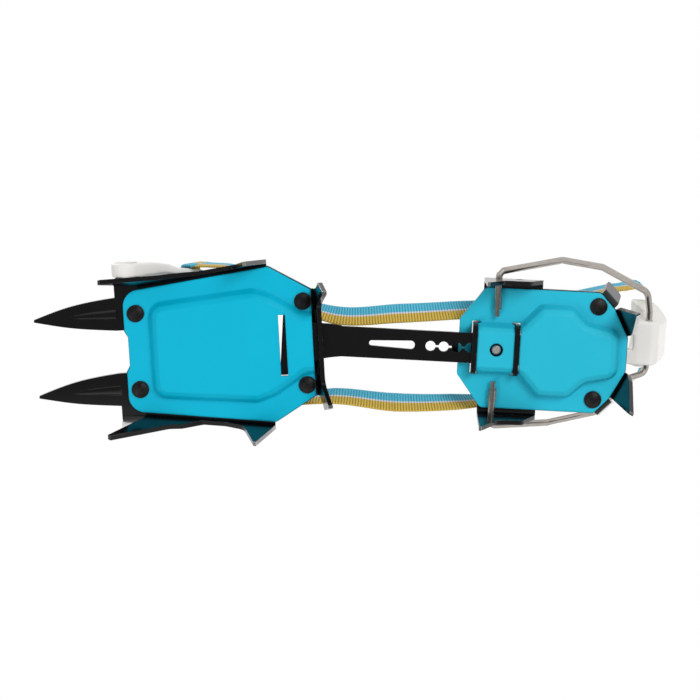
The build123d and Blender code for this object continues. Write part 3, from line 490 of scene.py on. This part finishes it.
def webbing_piece(name, line, across, bands, begin=0.0, closed=False):
    """Ribbed flat webbing along the line's points, its width across them, as a closed skin.

    begin is the length of webbing before it, so that the ribs carry on from one piece to the
    next, and a closed piece joins its own start.
    """
    if closed:
        travel = np.roll(line, -1, axis=0) - np.roll(line, 1, axis=0)
    else:
        travel = np.gradient(line, axis=0)
    travel = travel / np.linalg.norm(travel, axis=1)[:, None]
    across = across - travel * np.sum(across * travel, axis=1)[:, None]
    across = across / np.linalg.norm(across, axis=1)[:, None]
    normal = np.cross(travel, across)
    steps = np.linalg.norm(np.diff(line, axis=0), axis=1)
    at = np.concatenate([[0], np.cumsum(steps)]) + begin
    rib = np.sin(2 * math.pi * at * MM / RIB)
    face = [(v, 1.0) for v in np.linspace(-FACE_HALF, FACE_HALF, CORD_COUNT)]
    upper = [(-CORNER[0], CORNER[1])] + face + [CORNER]
    section = [(-1.0, 0.0)] + upper + [(1.0, 0.0)] + [(v, -h) for v, h in reversed(upper)]
    columns = []
    for v, h in section:
        cord = CORD_RISE * math.cos(math.pi * CORD_COUNT * v) if abs(v) < CORDS_END else 0.0
        depth = h * (WEB_THICK / 2 - SKIN_SUNK + RIB_RISE * rib + cord)
        side = v * (WEB_WIDTH / 2 - EDGE_SUNK + RIB_RISE * rib)
        columns.append(line + across * side[:, None] + normal * depth[:, None])
    count, around = len(line), len(section)
    grid = to_row(np.stack(columns, axis=1).reshape(-1, 3))
    faces = []
    for i in range(count if closed else count - 1):
        here, following = i * around, (i + 1) % count * around
        for j in range(around):
            k = (j + 1) % around
            faces.append((here + j, following + j, following + k, here + k))
    if not closed:
        faces.append(tuple(range(around)))
        faces.append(tuple(reversed(range((count - 1) * around, count * around))))
    mesh = bpy.data.meshes.new(name)
    mesh.from_pydata([tuple(p) for p in grid], [], faces)
    weave = mesh.uv_layers.new(name="Weave")
    for polygon in mesh.polygons:
        polygon.use_smooth = True
        last_row = closed and polygon.index // around == count - 1
        for loop in polygon.loop_indices:
            row, column = divmod(mesh.loops[loop].vertex_index, around)
            along = at[row] + (at[-1] - at[0] + STEP if last_row and row == 0 else 0)
            weave.data[loop].uv = (along * MM, 0.5 + 0.5 * section[column][0] * bands)
    mesh.materials.append(WEBBING)
    edit = bmesh.new()
    edit.from_mesh(mesh)
    bmesh.ops.recalc_face_normals(edit, faces=edit.faces)
    edit.to_mesh(mesh)
    edit.free()
    piece = linked(name, mesh)
    return piece


# A side's webbing is cut where one body hands over to the next, at these points of its run.
CHAIN = ["heel_lever", "heel_bail", "heel_section", "link_bar", "front_section", "toe_bail"]
CUTS = [0, 2, 4, 6, 7, 10]


def strap_run(name, run, side):
    """One side's webbing, in pieces cut where one body hands over to the next."""
    middles = [TUNNEL + Vector((0, side * TUNNEL_END, 0))] + [Vector(row[:3]) for row in run]
    middles.append(slot_point(TURN_IN, side * OUTSIDE))
    widths = [TUNNEL_LEAN] + [Vector(row[3:]) for row in run] + [SLOT_ACROSS]
    line, shares = smooth_line(middles)
    across = between_rows(widths, shares)
    rows = [int(np.searchsorted(shares, cut - 1e-6)) for cut in CUTS]
    for i, (body, following) in enumerate(zip(CHAIN, CHAIN[1:])):
        first, last = rows[i], min(rows[i + 1], len(line) - 1)
        span = slice(first, last + 1)
        piece = webbing_piece(
            f"{name}_{i + 1}", line[span], across[span], BLUE_ABOVE, first * STEP
        )
        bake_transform(piece)
        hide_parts(name)


def turned(points):
    """Points of y and q with each sharp corner turned on a radius."""
    out = [points[0]]
    for before, here, after in zip(points, points[1:], points[2:]):
        here = np.array(here, float)
        back, ahead = np.array(before) - here, np.array(after) - here
        back, ahead = back / np.linalg.norm(back), ahead / np.linalg.norm(ahead)
        half = math.acos(np.clip(back @ ahead, -1, 1)) / 2
        cut = TURN / math.tan(half)
        inward = (back + ahead) / np.linalg.norm(back + ahead)
        middle = here + inward * (TURN / math.sin(half) - TURN)
        out += [tuple(here + back * cut), tuple(middle), tuple(here + ahead * cut)]
    return out + [points[-1]]


def slot_strap(name, points, node, bands):
    """Webbing in the plane across the toe slots, through points of y and q."""
    path = turned(points)
    filled = [path[0]]
    for here, following in zip(path, path[1:]):
        gap = math.dist(here, following)
        if gap > LONG_RUN:
            for t in (NEAR_END / gap, 0.5, 1 - NEAR_END / gap):
                filled.append(tuple(np.array(here) * (1 - t) + np.array(following) * t))
        filled.append(following)
    line, _ = smooth_line([slot_point(q, y) for y, q in filled])
    across = np.tile(np.array(SLOT_ACROSS), (len(line), 1))
    piece = webbing_piece(name, line, across, bands)
    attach(piece, "toe_bail")
    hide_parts(node)


def ring_loop():
    """Webbing sewn round the straight sides of both buckle rings."""
    run, bend = 2 * LOOP_HALF, math.pi * LOOP_RADIUS
    total = 2 * (run + bend)
    count = int(round(total / STEP))
    points = []
    for along in np.linspace(0, total, count, endpoint=False):
        half, along = divmod(along, run + bend)
        side = 1 if half == 0 else -1
        if along < run:
            y, q = LOOP_RADIUS, along - LOOP_HALF
        else:
            turn = (along - run) / LOOP_RADIUS
            y, q = LOOP_RADIUS * math.cos(turn), LOOP_HALF + LOOP_RADIUS * math.sin(turn)
        points.append(slot_point(RING_MIDDLE + side * q, RING_Y + side * y))
    line = np.array([list(point) for point in points])
    across = np.tile(np.array(SLOT_ACROSS), (count, 1))
    piece = webbing_piece("ring_loop_webbing", line, across, BLUE_BELOW, closed=True)
    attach(piece, "toe_bail")
    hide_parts("strap_ring_loop")


def heel_strap():
    """The webbing's stretch inside the lever's tunnel."""
    line, _ = smooth_line([TUNNEL + Vector((0, y, 0)) for y in (-TUNNEL_END, 0, TUNNEL_END)])
    across = np.tile(np.array(TUNNEL_LEAN), (len(line), 1))
    piece = webbing_piece("strap_heel_webbing", line, across, BLUE_BELOW)
    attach(piece, "heel_lever")
    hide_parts("strap_heel")


TAIL_END, TAIL_END_Q = 27, 8.2     # where the tail ends, above the rings
TOE_END, TOE_END_Q = 10.4, 3.3     # where the toe strap ends, at the ring loop
# y and q of the webbing's middle, from one sharp turn to the next
LEFT_TAIL = [
    (OUTSIDE, TURN_IN), (OUTSIDE, 0), (31, -0.4), (26.5, -1.7), (19, -1.2), (20, 8.4),
    (TAIL_END, TAIL_END_Q),
]
TOE_STRAP = [
    (-OUTSIDE, TURN_IN), (-OUTSIDE, 0), (-28, 0), (-12, TOE_END_Q), (TOE_END, TOE_END_Q),
]

strap_run("strap_left", LEFT_RUN, 1)
strap_run("strap_right", RIGHT_RUN, -1)
slot_strap("strap_left_tail", LEFT_TAIL, "strap_left", BLUE_BELOW)
slot_strap("strap_toe_webbing", TOE_STRAP, "strap_toe", BLUE_ABOVE)
ring_loop()
heel_strap()


# --- Moulded pieces ---------------------------------------------------------------------
CROSS = np.array((-92.706, 0.0, 88.133), np.float32)  # middle of the heel bail's cross bar
TOE_PIVOT = (108.0, 12.5)    # x and z of the toe bail's rivets, in the front section's frame
SMOOTHING_ROUNDS = 7
LEVER_VOXEL = 0.55           # the finer it is, the sharper its edges stay
TOE_BAIL_VOXEL = 0.75

# The lever, from its cross bar: x forwards, z up.
BACK_FROM, BACK_DEPTH = -1.5, 13.0   # where its back starts, and how deep it is
BACK_NARROWS = 0.50                  # how much narrower it is right at the back
THUMB_DEPTH = 1.3
THUMB_HEIGHT = 45.0                  # of the hollow's middle
THUMB_HALF_WIDTH, THUMB_HALF_HEIGHT = 9.0, 6.5
FRONT_FROM, FRONT_FULL = 0.5, 3.0    # the hollow is on the lever's front face only
FOOT_UP_TO, FOOT_FROM = 4.0, 18.0    # and not in its foot

# The toe bail, in the front section's frame.
PIVOT_THICKER = 4.2                  # how much thicker its walls grow round the rivets
THICK_BEHIND = (-4.0, 46.0)          # distance behind the rivets over which that fades
THICK_UP = (14.0, 42.0)              # height over which it fades
RECESS = (5.3, 6.6)                  # edge of the recess round a rivet's head
WALL_OUTSIDE = (42.6, 44.6)          # only the outer face of a wall moves out


def ramp(values, low, high):
    """0 up to low and 1 from high on, smoothly."""
    share = np.clip((values - low) / (high - low), 0.0, 1.0)
    return share * share * (3 - 2 * share)


def moulded_copy(name, node, body, voxel, shaped):
    """The node's form with its edges rounded as moulded ones are, its points then shaped."""
    rough = linked(name + "_rough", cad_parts[node].data.copy())
    remesh = rough.modifiers.new("remesh", "REMESH")
    remesh.mode = "VOXEL"
    remesh.voxel_size = voxel * MM
    graph = bpy.context.evaluated_depsgraph_get()
    mesh = bpy.data.meshes.new_from_object(rough.evaluated_get(graph), depsgraph=graph)
    mesh.name = name
    bpy.data.objects.remove(rough)
    edit = bmesh.new()
    edit.from_mesh(mesh)
    for _ in range(SMOOTHING_ROUNDS):
        bmesh.ops.smooth_vert(
            edit, verts=edit.verts, factor=0.5, use_axis_x=True, use_axis_y=True, use_axis_z=True
        )
    edit.to_mesh(mesh)
    edit.free()
    points = np.empty(len(mesh.vertices) * 3)
    mesh.vertices.foreach_get("co", points)
    points = shaped(points.reshape(-1, 3) / MM + np.array(DRAWING_ORIGIN))
    mesh.vertices.foreach_set("co", to_row(points).ravel())
    mesh.polygons.foreach_set("use_smooth", [True] * len(mesh.polygons))
    mesh.materials.clear()
    mesh.materials.append(WHITE_PLASTIC)
    mesh.update()
    piece = linked(name, mesh)
    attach(piece, body)
    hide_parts(node)


def shape_lever(points):
    """A paddle whose back is rounded in plan, with a hollow for the thumb."""
    points = points - CROSS
    back = np.clip((BACK_FROM - points[:, 0]) / BACK_DEPTH, 0.0, 1.0)
    points[:, 1] *= 1 - BACK_NARROWS * back**2
    across = points[:, 1] / THUMB_HALF_WIDTH
    up = (points[:, 2] - THUMB_HEIGHT) / THUMB_HALF_HEIGHT
    front = ramp(points[:, 0], FRONT_FROM, FRONT_FULL) * ramp(points[:, 2], FOOT_UP_TO, FOOT_FROM)
    points[:, 0] -= THUMB_DEPTH * np.exp(-across**2 - up**2) * front
    return points + CROSS


def shape_toe_bail(points):
    """Thicker round its rivets, whose heads lie in recesses."""
    turn = np.array(FRONT_PLACE.to_3x3())
    place = np.array(FRONT_PLACE.translation)
    local = (points - place) @ turn
    out = np.abs(local[:, 1])
    reach = np.hypot(local[:, 0] - TOE_PIVOT[0], local[:, 2] - TOE_PIVOT[1])
    share = 1 - ramp(TOE_PIVOT[0] - local[:, 0], *THICK_BEHIND)
    share *= 1 - ramp(local[:, 2], *THICK_UP)
    share *= ramp(reach, *RECESS) * ramp(out, *WALL_OUTSIDE)
    local[:, 1] += np.sign(local[:, 1]) * PIVOT_THICKER * share
    return local @ turn.T + place


moulded_copy("heel_lever_paddle", "heel_lever", "heel_lever", LEVER_VOXEL, shape_lever)
moulded_copy("toe_bail_basket", "toe_bail", "toe_bail", TOE_BAIL_VOXEL, shape_toe_bail)


# --- Stitches ---------------------------------------------------------------------------
STITCH_PITCH = 1.7
STITCH_LENGTH = 1.45
THREAD_RADIUS = 0.22
SEAM_HALF = 5.4              # half of a sewn box, across the webbing
STITCH_INPUTS = {
    "Start": "NodeSocketVector", "End": "NodeSocketVector", "Stitches": "NodeSocketInt",
    "Length": "NodeSocketFloat", "Thread radius": "NodeSocketFloat",
}


def stitch_tree():
    """Rows of stitches: short threads set end to end from one point to another."""
    tree = bpy.data.node_groups.new("stitch_row", "GeometryNodeTree")
    tree.interface.new_socket("Geometry", in_out="OUTPUT", socket_type="NodeSocketGeometry")
    sockets = {}
    for name, kind in STITCH_INPUTS.items():
        socket = tree.interface.new_socket(name, in_out="INPUT", socket_type=kind)
        sockets[name] = socket.identifier
    nodes = Nodes(tree)
    given = nodes.add("NodeGroupInput").outputs
    start, end, radius = given["Start"], given["End"], given["Thread radius"]
    line = {"Start Location": start, "Offset": end, "Count": given["Stitches"]}
    row = nodes.add("GeometryNodeMeshLine", line, mode="END_POINTS").outputs[0]
    along = nodes.add("ShaderNodeVectorMath", {0: end, 1: start}, operation="SUBTRACT").outputs[0]
    turn = nodes.add("FunctionNodeAlignRotationToVector", {"Vector": along}, axis="Z").outputs[0]
    ball = {"Segments": 8, "Rings": 6, "Radius": 1.0}
    thread = nodes.add("GeometryNodeMeshUVSphere", ball).outputs[0]
    half = nodes.math("MULTIPLY", given["Length"], 0.5)
    scale = nodes.add("ShaderNodeCombineXYZ", {0: radius, 1: radius, 2: half}).outputs[0]
    threads = {"Points": row, "Instance": thread, "Rotation": turn, "Scale": scale}
    instances = nodes.add("GeometryNodeInstanceOnPoints", threads).outputs[0]
    real = nodes.add("GeometryNodeRealizeInstances", {"Geometry": instances}).outputs[0]
    finish = {"Geometry": real, "Material": THREAD}
    sewn = nodes.add("GeometryNodeSetMaterial", finish).outputs[0]
    nodes.add("NodeGroupOutput", {"Geometry": sewn})
    return tree, sockets


STITCH_TREE, STITCH_SOCKETS = stitch_tree()


def stitches(name, rows, body):
    """One piece of all the rows, each from one drawing-frame point to another."""
    joined = bmesh.new()
    for start, end in rows:
        holder = linked(name, bpy.data.meshes.new(name))
        modifier = holder.modifiers.new("stitches", "NODES")
        modifier.node_group = STITCH_TREE
        values = {
            "Start": placed(*start), "End": placed(*end),
            "Stitches": 1 + round((end - start).length / STITCH_PITCH),
            "Length": STITCH_LENGTH * MM, "Thread radius": THREAD_RADIUS * MM,
        }
        for socket, value in values.items():
            modifier[STITCH_SOCKETS[socket]] = value
        holder.update_tag()
        graph = bpy.context.evaluated_depsgraph_get()
        mesh = bpy.data.meshes.new_from_object(holder.evaluated_get(graph), depsgraph=graph)
        joined.from_mesh(mesh)
        bpy.data.objects.remove(holder)
    whole = bpy.data.meshes.new(name)
    joined.to_mesh(whole)
    joined.free()
    whole.materials.append(THREAD)
    whole.polygons.foreach_set("use_smooth", [True] * len(whole.polygons))
    piece = linked(name, whole)
    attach(piece, body)


def sewn_box(q, low, high, crossed):
    """A box of stitches on both faces of the webbing at q, between two y values."""
    rows = []
    for face in (q - WEB_THICK / 2, q + WEB_THICK / 2):
        sides = ((low, -SEAM_HALF), (high, -SEAM_HALF), (high, SEAM_HALF), (low, SEAM_HALF))
        corner = [slot_point(face, y) + SLOT_ACROSS * w for y, w in sides]
        rows += [(corner[i], corner[(i + 1) % 4]) for i in range(4)]
        if crossed:
            rows += [(corner[0], corner[2]), (corner[1], corner[3])]
    return rows


stitches("toe_strap_stitches", sewn_box(TOE_END_Q, -6.0, 7.5, crossed=True), "toe_bail")
stitches("tail_stitches", sewn_box(TAIL_END_Q, 22.5, 25.5, crossed=False), "toe_bail")


# --- Floor, world and lamps -------------------------------------------------------------
WHITE = (1.0, 1.0, 1.0, 1.0)
PALE = (0.93, 0.93, 0.93, 1.0)
AMBIENT = 0.50                 # strength of the plain light from all round
FLOOR_HALF = 6.0
SHADE_BELOW = 0.24             # strength of the floor's reflection in the shade under the crampon
SHADE_HALF = (0.190, 0.028)    # half the length and width of that shade
SHADE_EDGE = 0.045             # width of its soft edge


def light_path(nodes, *kinds):
    """1 for the kinds of ray that are named."""
    path = nodes.add("ShaderNodeLightPath")
    total = path.outputs[kinds[0]]
    for kind in kinds[1:]:
        total = nodes.math("MAXIMUM", total, path.outputs[kind])
    return total


def make_world():
    """White where it is seen or mirrored, and a plain even light on the crampon."""
    world = bpy.data.worlds.new("studio")
    world.use_nodes = True
    bpy.context.scene.world = world
    nodes = Nodes(world.node_tree)
    seen = light_path(nodes, "Is Camera Ray", "Is Glossy Ray", "Is Transmission Ray")
    level = nodes.between(seen, 0.0, 1.0, AMBIENT, 1.0)
    background = nodes.add("ShaderNodeBackground", {"Color": WHITE, "Strength": level})
    nodes.add("ShaderNodeOutputWorld", {"Surface": background.outputs[0]})


def make_floor():
    """Pale floor, seen and shaded from above only, so that the underside can be lit and seen."""
    mesh = bpy.data.meshes.new("floor")
    corners = [(x * FLOOR_HALF, y * FLOOR_HALF, 0) for x, y in ((-1, -1), (1, -1), (1, 1), (-1, 1))]
    mesh.from_pydata(corners, [], [(0, 1, 2, 3)])
    material, nodes, where = finish_material("pale_floor")
    matt = nodes.add("ShaderNodeBsdfDiffuse", {"Color": PALE}).outputs[0]
    # gloss mirrors the shade that lies on the floor under the crampon, and the pale floor round it
    beyond = []
    for along, half in zip(nodes.axes(where)[:2], SHADE_HALF):
        outside = nodes.math("SUBTRACT", nodes.math("ABSOLUTE", along), half)
        beyond.append(nodes.math("POWER", nodes.math("MAXIMUM", outside, 0.0), 2.0))
    away = nodes.math("SQRT", nodes.math("ADD", *beyond))
    level = nodes.between(away, 0.0, SHADE_EDGE, SHADE_BELOW, 1.0)
    white = nodes.add("ShaderNodeEmission", {"Color": WHITE, "Strength": level}).outputs[0]
    clear = nodes.add("ShaderNodeBsdfTransparent").outputs[0]
    mirrored = light_path(nodes, "Is Glossy Ray", "Is Transmission Ray")
    shown = nodes.add("ShaderNodeMixShader", {0: mirrored, 1: matt, 2: white}).outputs[0]
    through = light_path(nodes, "Is Shadow Ray", "Is Diffuse Ray")
    back = nodes.add("ShaderNodeNewGeometry").outputs["Backfacing"]
    through = nodes.math("MAXIMUM", through, back)
    mixed = nodes.add("ShaderNodeMixShader", {0: through, 1: shown, 2: clear}).outputs[0]
    nodes.add("ShaderNodeOutputMaterial", {"Surface": mixed})
    mesh.materials.append(material)
    linked("floor", mesh)


LAMP_AIM = Vector((0.0, 0.0, 0.04))
LAMPS = {
    # place, size, and the share of its own colour to which it lights a surface that faces it
    "under_key": ((-0.75, 0.85, -1.35), 0.7, 0.44),
    "under_fill": ((0.9, -0.7, -1.4), 0.8, 0.24),
    "over_key": ((0.8, 0.9, 1.6), 0.9, 0.36),
    "over_fill": ((-1.0, -0.8, 1.5), 1.2, 0.20),
}


def soft_lamp(name, place, size, level):
    """Square lamp that points at the crampon. Its power grows with its distance squared."""
    offset = Vector(place) - LAMP_AIM
    lamp = bpy.data.lights.new(name, "AREA")
    lamp.size = size
    lamp.energy = level * (math.pi * offset.length) ** 2
    lamp_object = linked(name, lamp)
    lamp_object.location = place
    lamp_object.rotation_euler = offset.to_track_quat("Z", "Y").to_euler()


make_world()
make_floor()
for lamp_name, lamp_facts in LAMPS.items():
    soft_lamp(lamp_name, *lamp_facts)

bpy.context.scene.view_settings.view_transform = "Standard"
